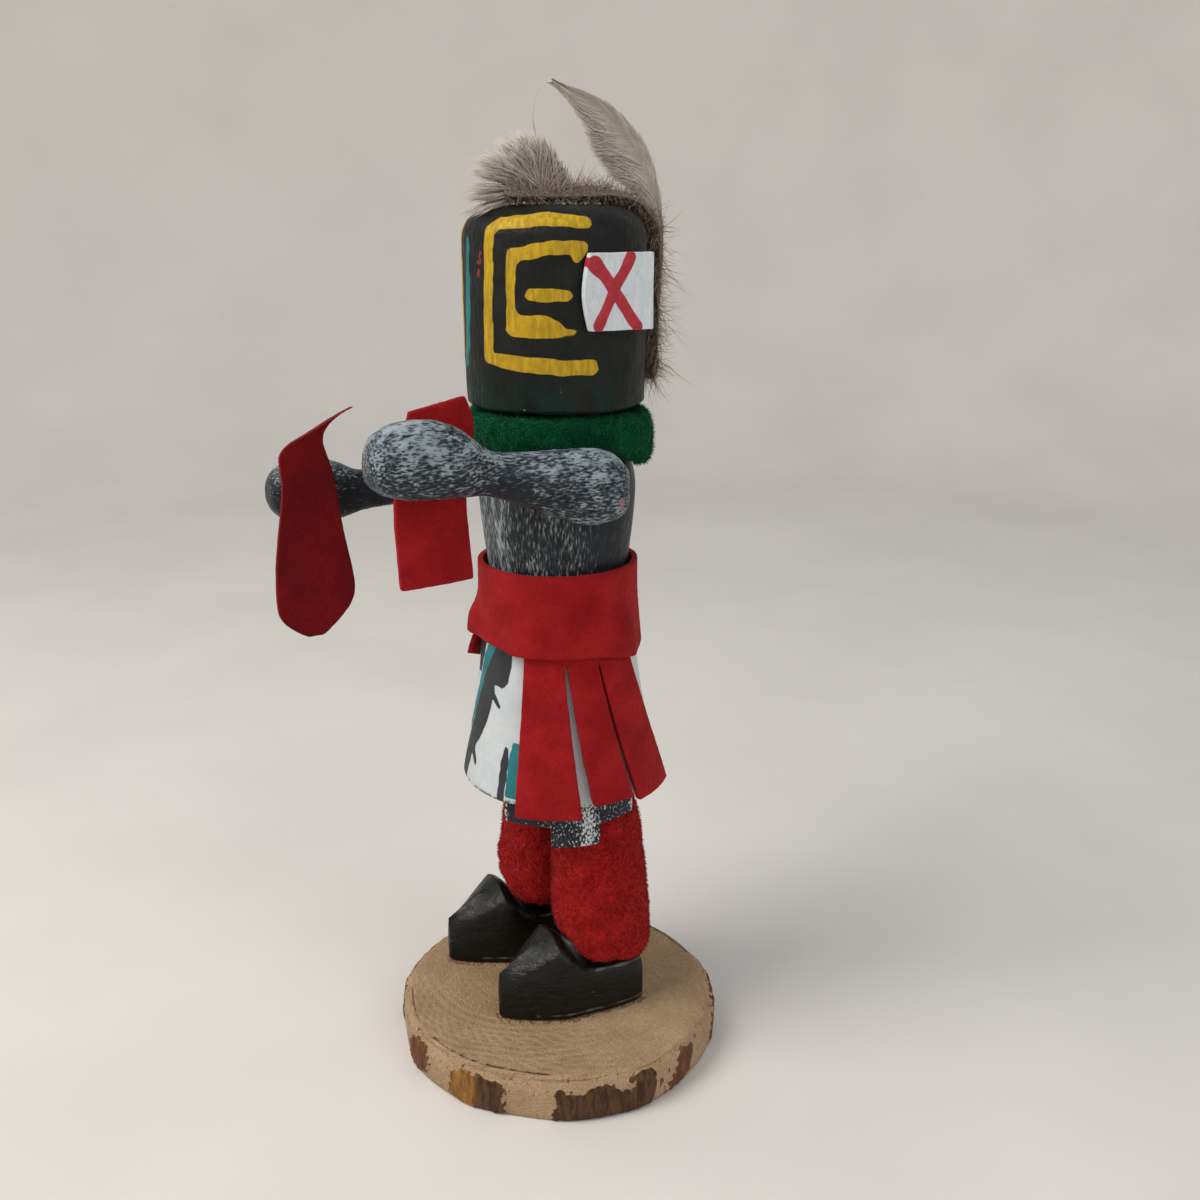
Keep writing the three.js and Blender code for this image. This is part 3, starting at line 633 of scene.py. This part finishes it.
def head_finish():
    f = Finish("black_satin_paint", Specular_IOR_Level=0.22)
    broad, brush = f.grain(3.0, 0.3, 0.7), f.grain((0.6, 0.6, 3.0), 0.3, 0.7)
    base = f.mix(broad, colour(13, 15, 14), colour(23, 25, 22))
    low = f.step(f.node("ShaderNodeSeparateXYZ", {0: f.place}, output=2), 108, 101)
    base = f.mix(f.sums("MULTIPLY", low, f.grain(4.0, 0.35, 0.6, shift=8)), base, colour(10, 36, 29))
    teal = f.mix(broad, colour(22, 98, 104), colour(30, 120, 124))
    base = f.mix(f.painted("teal", 0.15, 2.0, 0.15), base, teal)
    yellow = f.mix(brush, colour(196, 160, 30), colour(166, 132, 26))
    yellow = f.mix(f.sums("MULTIPLY", f.grain(0.8, 0.55, 0.7), 0.4), yellow, colour(128, 104, 38))
    base = f.mix(f.painted("yellow", 0.07, 2.0), base, yellow)
    base = f.mix(f.painted("red", 0.3, 0.8), base, colour(120, 44, 40))
    base = f.mix(f.painted("scratch", 0.1, 0.3), base, colour(150, 160, 155))
    return f.finish(base, f.step(brush, 0, 1, 0.45, 0.6), [(brush, 0.03), (broad, 0.1)])


def make_head():
    obj = refined("head.painted", "head", sharp=38, crease=0.7)
    points = points_of(obj)
    yellow = head_shape(points, YELLOW)
    teal = head_shape(points, TEAL, mirrored=False)
    keep(obj, "yellow", yellow)
    keep(obj, "teal", teal)
    keep(obj, "red", head_shape(points, RED_DAB, mirrored=False))
    keep(obj, "scratch", head_shape(points, SCRATCHES, mirrored=False))
    cuts = 0.09 * lumps(points, (4, 4, 7), 51) + 0.03 * lumps(points, 1.2, 52, 2)
    relief(obj, cuts + 0.1 * smooth(yellow, 0.1, -0.25) + 0.05 * smooth(teal, 0.1, -0.2) - 0.05)
    return placed(obj, head_finish(), "head", "head")


def ear_finish():
    f = Finish("white_and_red_paint", Specular_IOR_Level=0.45)
    brush = f.grain((0.5, 0.5, 2.5), 0.3, 0.7)
    base = f.mix(brush, colour(214, 219, 222), colour(200, 207, 212))
    red = f.mix(brush, colour(178, 28, 46), colour(160, 22, 40))
    base = f.mix(f.painted("cross", 0.05, 1.6), base, red)
    return f.finish(base, f.step(brush, 0, 1, 0.4, 0.5), [(brush, 0.04), (f.grain(0.8), 0.06)])


def make_ear(node, material):
    obj = refined(node + ".painted", node, levels=4, sharp=60, crease=0.85)
    points = points_of(obj)
    flat = points[:, 1:]
    cross = np.minimum(
        stroke(flat, [(-1.2, 120.6, 1.15), (0.2, 119.2, 0.8), (5.2, 112.4, 0.8)]),
        stroke(flat, [(4.2, 121.4, 0.8), (1.7, 117.2, 0.75), (-0.6, 112.6, 0.8)]),
    )
    keep(obj, "cross", cross)
    relief(obj, 0.07 * smooth(cross, 0.1, -0.2) + 0.04 * lumps(points, 1.6, 61, 2))
    return placed(obj, material, "ear", node)


# ---- leather and suede -----------------------------------------------------


def suede_finish(name, light, dark):
    f = Finish(name, Roughness=0.92, Sheen_Weight=0.12, Sheen_Tint=colour(255, 140, 130),
               Specular_IOR_Level=0.15)
    broad, fine = f.grain(5.0, 0.3, 0.7), f.grain(0.22, 0.3, 0.7)
    base = f.mix(broad, light, dark)
    base = f.mix(f.sums("MULTIPLY", f.grain(0.9, 0.35, 0.65, shift=4), 0.25), base, dark)
    base = f.mix(f.sums("MULTIPLY", fine, 0.16), base, colour(60, 6, 12))
    specks = f.grain(0.5, 0.78, 0.82, shift=12)
    base = f.mix(f.sums("MULTIPLY", specks, 0.5), base, colour(200, 110, 90))
    return f.finish(base, None, [(fine, 0.05), (f.grain(0.8), 0.08)])


def make_suede(node, material, slot, levels=3):
    obj = refined(node + ".suede", node, levels=levels, sharp=60, crease=0.85)
    points = points_of(obj)
    relief(obj, 0.035 * lumps(points, 0.5, 71, 2) + 0.036 * lumps(points, 3.0, 72))
    placed(obj, material, slot, node)
    return obj


# The kilt's painted border in front: outlines of turn about the axis and height.
KILT_BLACK = [
    [(-108, 68), (-93.5, 68), (-96, 64), (-100, 61), (-109, 61), (-112, 64)],
    [(-71.5, 69), (-61.5, 69), (-61.5, 64), (-64, 61.5), (-69, 60.3), (-77, 60.6), (-76.5, 59.4),
     (-69, 57.6), (-70, 57.1), (-78, 58.4), (-79.5, 56), (-85, 52.6), (-91.5, 50.6), (-93, 49.6),
     (-88, 47.8), (-89, 47.2),
     (-97, 48.6), (-99, 46), (-101, 43.4), (-118, 43.2), (-116, 47), (-108, 51), (-99.5, 56),
     (-95, 58.5), (-90, 61.5), (-82, 65)],
    [(-65.2, 43.6), (-64.6, 50), (-62.6, 52.2), (-60.2, 52.0), (-59.2, 50), (-60.2, 43.6)],
]
KILT_TEAL = [
    [(-83.5, 69), (-72.5, 69), (-81.5, 65), (-89.5, 61.5), (-94.5, 58.5), (-99, 56), (-108, 51.4),
     (-112, 52),
     (-104, 57), (-98, 61.5), (-95.5, 64)],
    [(-60, 44.6), (-58.6, 51), (-56.6, 52.9), (-52, 52.9), (-48, 51), (-48, 44.6)],
]
BORDER_RADIUS = 13.0  # turns are laid flat at this radius to measure outlines


def kilt_shape(points, outlines):
    """Distance from painted outlines, which are repeated behind the sash."""
    turn = turns(points)
    best = np.full(len(points), 1e3)
    for way in (turn, -turn):
        flat = np.stack([np.radians(way) * BORDER_RADIUS, points[:, 2]], 1)
        for outline in outlines:
            corners = [(math.radians(t) * BORDER_RADIUS, z) for t, z in outline]
            best = np.minimum(best, patch(flat, corners))
    return best


def kilt_finish():
    f = Finish("painted_white_leather", Specular_IOR_Level=0.35)
    broad, pore = f.grain(4.0, 0.3, 0.7), f.grain(0.25, 0.3, 0.7)
    base = f.mix(broad, colour(206, 211, 213), colour(194, 201, 204))
    base = f.mix(f.sums("MULTIPLY", pore, 0.1), base, colour(150, 156, 160))
    teal = f.mix(broad, colour(32, 128, 136), colour(26, 112, 118))
    black = f.mix(broad, colour(36, 39, 43), colour(48, 51, 55))
    base = f.mix(f.painted("teal", 0.06, 1.2), base, teal)
    base = f.mix(f.painted("black", 0.06, 1.5), base, black)
    base = f.mix(f.kept("edge"), base, f.mix(f.grain(0.9, 0.45, 0.55, shift=6), base, colour(50, 52, 56)))
    return f.finish(base, f.step(broad, 0, 1, 0.5, 0.62), [(pore, 0.02), (broad, 0.1)])


def make_kilt():
    obj = refined("kilt.leather", "kilt", sharp=60, crease=0.9)
    points = points_of(obj)
    outer = smooth((points[:, :2] * normals_of(obj)[:, :2]).sum(1), 0, 4)
    hidden = (1 - outer) * 5  # keeps the paint off the inner side
    teal, black = kilt_shape(points, KILT_TEAL), kilt_shape(points, KILT_BLACK)
    low = box_mm("kilt")[0][2]
    droop = 0.5 * np.cos(np.radians(turns(points) + 20))
    keep(obj, "teal", teal + hidden)
    keep(obj, "black", black + hidden)
    keep(obj, "edge", smooth(points[:, 2] + droop, low + 1.1, low + 0.6))
    relief(obj, 0.05 * lumps(points, 3.5, 81, 2) + 0.02 * smooth(np.minimum(teal, black), 0.1, -0.1))
    placed(obj, kilt_finish(), "kilt_leather", "kilt")
    return obj


def make_panel():
    f = Finish("speckled_leather", Specular_IOR_Level=0.3)
    speck = f.grain((0.3, 0.3, 0.45), 0.0, 1.0, detail=5)
    level = f.sums("ADD", speck, f.sums("MULTIPLY", f.kept("white"), 0.3))
    base = f.mix(f.step(level, 0.6, 0.8), colour(24, 28, 38), colour(200, 206, 208))
    obj = refined("stepped_panel.leather", "stepped_panel", sharp=60, crease=0.9)
    points = points_of(obj)
    turn = turns(points)
    middle = np.exp(-(((turn + 8) / 6) ** 2))
    line = smooth(np.abs(turn + 62.4), 1.4, 0.8) + smooth(np.abs(turn - 27), 1.4, 0.6)
    keep(obj, "white", 0.05 + 0.75 * middle + line - 0.4 * smooth(turn, -36, -44))
    relief(obj, 0.04 * lumps(points, 1.6, 84, 2))
    finish = f.finish(base, f.step(speck, 0, 1, 0.5, 0.7), [(speck, 0.06)])
    placed(obj, finish, "panel_leather", "stepped_panel")
    return obj


# ---- collar, fur and feathers ----------------------------------------------


def felt_finish():
    f = Finish("green_felt", Roughness=0.95, Sheen_Weight=0.2, Sheen_Tint=colour(120, 230, 160),
               Specular_IOR_Level=0.1)
    broad, fine = f.grain(2.6, 0.3, 0.7), f.grain(0.4, 0.3, 0.7)
    base = f.mix(broad, colour(0, 84, 52), colour(0, 60, 38))
    base = f.mix(f.sums("MULTIPLY", fine, 0.5), base, colour(0, 42, 26))
    # The fibres turn paler green toward their tips: painted highlights on the fuzz.
    base = f.mix(f.sums("MULTIPLY", f.kept("tip"), 0.3), base, colour(10, 120, 76))
    return f.finish(base, None, [(fine, 0.2)])


def make_collar():
    obj = refined("collar.felt", "collar", crease=0.2)
    points = points_of(obj)
    relief(obj, 0.22 * lumps(points, 2.0, 91, 2) + 0.1 * lumps(points, 0.7, 92))
    nap(obj, 13000, 0.6, 0.075, lean=(0.0, 0.0, 0.0))
    return placed(obj, felt_finish(), "felt", "collar")


def hair_finish(name, dark, light, tip):
    f = Finish(name, Roughness=0.8, Sheen_Weight=0.2, Specular_IOR_Level=0.2)
    base = f.mix(f.kept("tone"), dark, light)
    base = f.mix(f.sums("MULTIPLY", f.kept("tip"), 0.7), base, tip)
    return f.finish(f.mix(f.sums("MULTIPLY", f.grain(1.5, 0.4, 0.7), 0.3), base, dark))


def make_fur():
    obj = refined("fur_crest.hair", "fur_crest", levels=2, crease=0.0)
    relief(obj, -0.3 + 0.35 * lumps(points_of(obj), 1.4, 95, 2))
    keep(obj, "tone", 0.2 + 0.2 * lumps(points_of(obj), 1.0, 96))
    count = 5400
    roots, normals = on_surface(obj, count)
    back = smooth(roots[:, 2], 126, 120)[:, None]
    lean = np.array([0.0, 0.1, 0.0]) * (1 - back) + np.array([0.0, 0.1, -0.8]) * back
    way = unit(normals * 0.9 + lean + random.normal(size=(count, 3)) * 0.6)
    curl = random.normal(size=(count, 3)) * 0.7 + np.array([0.0, 0.0, -0.25]) * back
    reach = (1.5 + 0.7 * back) * random.uniform(0.4, 1.4, (count, 1))
    steps = np.array([-0.1, 0.3, 0.65, 1.0])
    paths = roots[:, None] + way[:, None] * (reach * steps)[..., None]
    paths = paths + curl[:, None] * (reach * steps**2)[..., None]
    inside = paths[..., 2] < HEAD_HIGH[2] + 0.2
    gap = np.linalg.norm(paths[..., :2], axis=2)
    push = np.where(inside & (paths[..., 2] < 124) & (gap < HEAD_RADIUS + 0.2), HEAD_RADIUS + 0.2 - gap, 0)
    paths[..., :2] += unit(paths[..., :2]) * push[..., None]
    radii = np.tile([0.045, 0.04, 0.03, 0.0], (count, 1)) * random.uniform(0.7, 1.3, (count, 1))
    joined(obj, hairs("fur_crest.hairs", paths, radii))
    finish = hair_finish("brown_fur", colour(98, 80, 66), colour(146, 126, 108), colour(176, 160, 144))
    return placed(obj, finish, "fur", "fur_crest")


def curve_at(rows, shares):
    """Points at the given shares of a smooth curve through rows of points."""
    rows = np.array(rows, float)
    knots = np.concatenate([[0], np.cumsum(np.linalg.norm(np.diff(rows, axis=0), axis=1))])
    at = np.clip(shares, 0, 1) * knots[-1]
    slopes = np.gradient(rows, knots, axis=0)
    low = np.clip(np.searchsorted(knots, at, side="right") - 1, 0, len(rows) - 2)
    span = knots[low + 1] - knots[low]
    s = ((at - knots[low]) / span)[..., None]
    a, b, m, n = rows[low], rows[low + 1], slopes[low], slopes[low + 1]
    span = span[..., None]
    return ((2 * s**3 - 3 * s**2 + 1) * a + (s**3 - 2 * s**2 + s) * span * m
            + (3 * s**2 - 2 * s**3) * b + (s**3 - s**2) * span * n)


BACK_QUILL = [(1.2, 16, 112), (1.2, 16.3, 120), (1.1, 15.9, 127), (0.8, 13.4, 134), (0.4, 8, 140),
              (0, -0.4, 144)]
FRONT_QUILL = [(1, -0.6, 129.6), (1, -1.6, 132.6), (1.1, -2.9, 136), (1.2, -3.6, 138.6), (1, -3.2, 141.4),
               (0.8, -1.9, 143.8)]


def quill(name, rows, thick):
    """A feather's tapered quill, all in one tone."""
    shares = np.linspace(0, 1, 22)
    path = curve_at(rows, shares)[None]
    obj = hairs(name, path, (thick * (1 - 0.85 * shares))[None])
    plain = np.zeros(len(obj.data.vertices), np.float32)
    obj.data.attributes["tone"].data.foreach_set("value", plain)
    return obj


def feather_finish():
    return hair_finish("downy_feather", colour(176, 163, 146), colour(208, 199, 186), colour(214, 208, 199))


def make_back_feather(material):
    count = 3000
    start = random.uniform(0.02, 0.97, count)
    side = np.where(random.random(count) < 0.72, -1.0, 1.0)
    run = random.uniform(0.1, 0.3, count) * (1 - 0.3 * start)
    steps = np.linspace(0, 1, 6)
    shares = np.minimum(start[:, None] + run[:, None] * steps, 1.0)
    middle = curve_at(BACK_QUILL, shares)
    ahead = curve_at(BACK_QUILL, np.minimum(shares + 0.01, 1)) - curve_at(BACK_QUILL, shares - 0.01)
    across = unit(np.stack([np.zeros_like(shares), -ahead[..., 2], ahead[..., 1]], -1))
    half = 0.5 + 5.2 * smooth(shares, 0.3, 0.62) * smooth(shares, 1.0, 0.7)
    half = np.where(side[:, None] < 0, half, 0.28 * half)
    spread = half * (steps**0.8) * random.uniform(0.55, 1.08, (count, 1))
    outward = np.sign((across * np.array([0, 1, 0.6])).sum(-1))
    middle = middle + across * (outward * side[:, None] * spread)[..., None]
    loose = random.normal(size=(count, 1)) * 0.35
    middle[..., 0] += loose * steps + 0.25 * np.sin(9 * start)[:, None] * steps
    radii = np.tile(0.095 * (1 - steps) ** 0.5 + 0.01, (count, 1))
    obj = hairs("feather_back.barbs", middle, radii)
    joined(obj, quill("feather_back.quill", BACK_QUILL, 0.28))
    return placed(obj, material, "feather", "feather_back")


PLUME_EDGE = [(-15, 125.4), (-14.4, 129), (-13.3, 133.4), (-9.8, 136.4), (-5.6, 138.2), (-3.4, 138.4),
              (-1.2, 136.2), (0.8, 133.2), (3.4, 130.6)]
LOCKS = 15  # the down gathers into this many locks


def make_front_feather(material):
    count = 2400
    share = random.random(count)
    number = np.floor(share * LOCKS)
    lock = (number + 0.5 + 0.35 * np.sin(number * 2.3)) / LOCKS
    share = np.clip(share + (lock - share) * random.uniform(0.2, 0.9, count), 0, 1)
    edge = curve_at([(0, y, z) for y, z in PLUME_EDGE], share)
    reach = random.uniform(0.5, 1.04, count) ** 0.6 * (1 - 0.08 * np.abs(np.sin(lock * 40)))
    root = np.stack([random.normal(size=count) * 0.7 + 0.6, random.uniform(-5.5, 1.5, count),
                     np.full(count, 128.6)], 1)
    root[:, 1] = 0.6 * root[:, 1] + 0.12 * edge[:, 1]
    tip = root + (edge - root) * reach[:, None]
    tip[:, 0] = random.normal(size=count) * 1.1 + 0.8
    bend = (root + tip) / 2 + np.stack([random.normal(size=count) * 0.3, np.full(count, 0.6),
                                        np.full(count, 1.5)], 1)
    s = np.linspace(0, 1, 6)[None, :, None]
    paths = (1 - s) ** 2 * root[:, None] + 2 * s * (1 - s) * bend[:, None] + s**2 * tip[:, None]
    radii = np.tile(0.085 * (1 - np.linspace(0, 1, 6)) ** 0.5 + 0.01, (count, 1))
    obj = hairs("feather_front.barbs", paths, radii)
    joined(obj, quill("feather_front.quill", FRONT_QUILL, 0.22))
    return placed(obj, material, "feather", "feather_front")


# ---- assembly --------------------------------------------------------------

shoe_paint = shoe_finish()
red_cloth = legging_finish()
white_paint = ear_finish()
red_suede = suede_finish("red_suede", colour(168, 26, 30), colour(142, 14, 22))
# A darker copy of the red suede, for the far strip: painted shade, not another leather.
shaded_suede = suede_finish("shaded_red_suede", colour(128, 16, 22), colour(104, 12, 18))
down = feather_finish()

make_slice()
for foot in ("left", "right"):
    make_shoe("shoe_" + foot, shoe_paint)
    make_legging("legging_" + foot, red_cloth)
make_body()
make_arm("arm_left", 1)
make_arm("arm_right", -1)
make_head()
make_ear("ear_left", white_paint)
make_ear("ear_right", white_paint)
make_kilt()
make_panel()
make_suede("sash_belt", red_suede, "suede", levels=2)
make_suede("sash_fringe", red_suede, "suede")
make_suede("front_flap", red_suede, "suede")
make_suede("strip_left", red_suede, "suede")
# The far strip gets the darker copy of the suede as painted shade.
make_suede("strip_right", shaded_suede, "suede")
make_collar()
make_fur()
make_back_feather(down)
make_front_feather(down)


# ---- floor, light and camera -----------------------------------------------


def make_floor():
    """A plain pale floor that curves up into a backdrop all round."""
    rows = [(r, 0.0) for r in np.linspace(5, 420, 12)]
    rows += [(420 + 180 * math.sin(a), 180 - 180 * math.cos(a)) for a in np.linspace(0.1, 1.5, 12)]
    rows += [(602, 190), (602, 380)]
    columns = 96
    angle = np.arange(columns) / columns * 2 * math.pi
    rings = [np.stack([r * np.cos(angle), r * np.sin(angle), np.full(columns, z)], 1) for r, z in rows]
    floor = ring_mesh("floor", rings, both_ends=False)
    f = Finish("pale_floor", Roughness=0.9, Specular_IOR_Level=0.1)
    cloudy = f.grain(60.0, 0.3, 0.7)
    floor.data.materials.append(f.finish(f.mix(cloudy, colour(222, 218, 213), colour(228, 224, 219))))


# The level direction the camera looks in, how far down it looks, and its place in metres.
LOOK = np.array([-0.883, 0.4695])
DOWN = math.radians(17.09)
EYE = Vector((0.16526, -0.08006, 0.1285))


def make_camera():
    data = bpy.data.cameras.new("camera")
    data.lens = 39
    data.sensor_width = 36
    data.clip_start, data.clip_end = 0.005, 5
    camera = bpy.data.objects.new("camera", data)
    bpy.context.scene.collection.objects.link(camera)
    camera.location = EYE
    way = Vector((LOOK[0] * math.cos(DOWN), LOOK[1] * math.cos(DOWN), -math.sin(DOWN)))
    camera.rotation_euler = way.to_track_quat("-Z", "Y").to_euler()
    bpy.context.scene.camera = camera


def make_light(name, place, size, power, tint):
    """A round soft light that is aimed at the doll's middle."""
    data = bpy.data.lights.new(name, "AREA")
    data.shape = "DISK"
    data.size = size
    data.energy = power
    data.color = tint
    light = bpy.data.objects.new(name, data)
    bpy.context.scene.collection.objects.link(light)
    light.location = place
    aim = Vector((0, 0, 0.07)) - Vector(place)
    light.rotation_euler = aim.to_track_quat("-Z", "Y").to_euler()


def make_lights():
    make_light("key", (-0.02, -0.34, 0.42), 0.3, 1.75, (1.0, 0.97, 0.93))
    make_light("fill", (0.42, 0.1, 0.3), 0.4, 0.5, (0.93, 0.96, 1.0))
    world = bpy.data.worlds.new("studio")
    world.use_nodes = True
    world.node_tree.nodes["Background"].inputs["Color"].default_value = (0.95, 0.97, 1.0, 1.0)
    world.node_tree.nodes["Background"].inputs["Strength"].default_value = 0.46
    bpy.context.scene.world = world
    bpy.context.scene.view_settings.view_transform = "Standard"


make_floor()
make_camera()
make_lights()
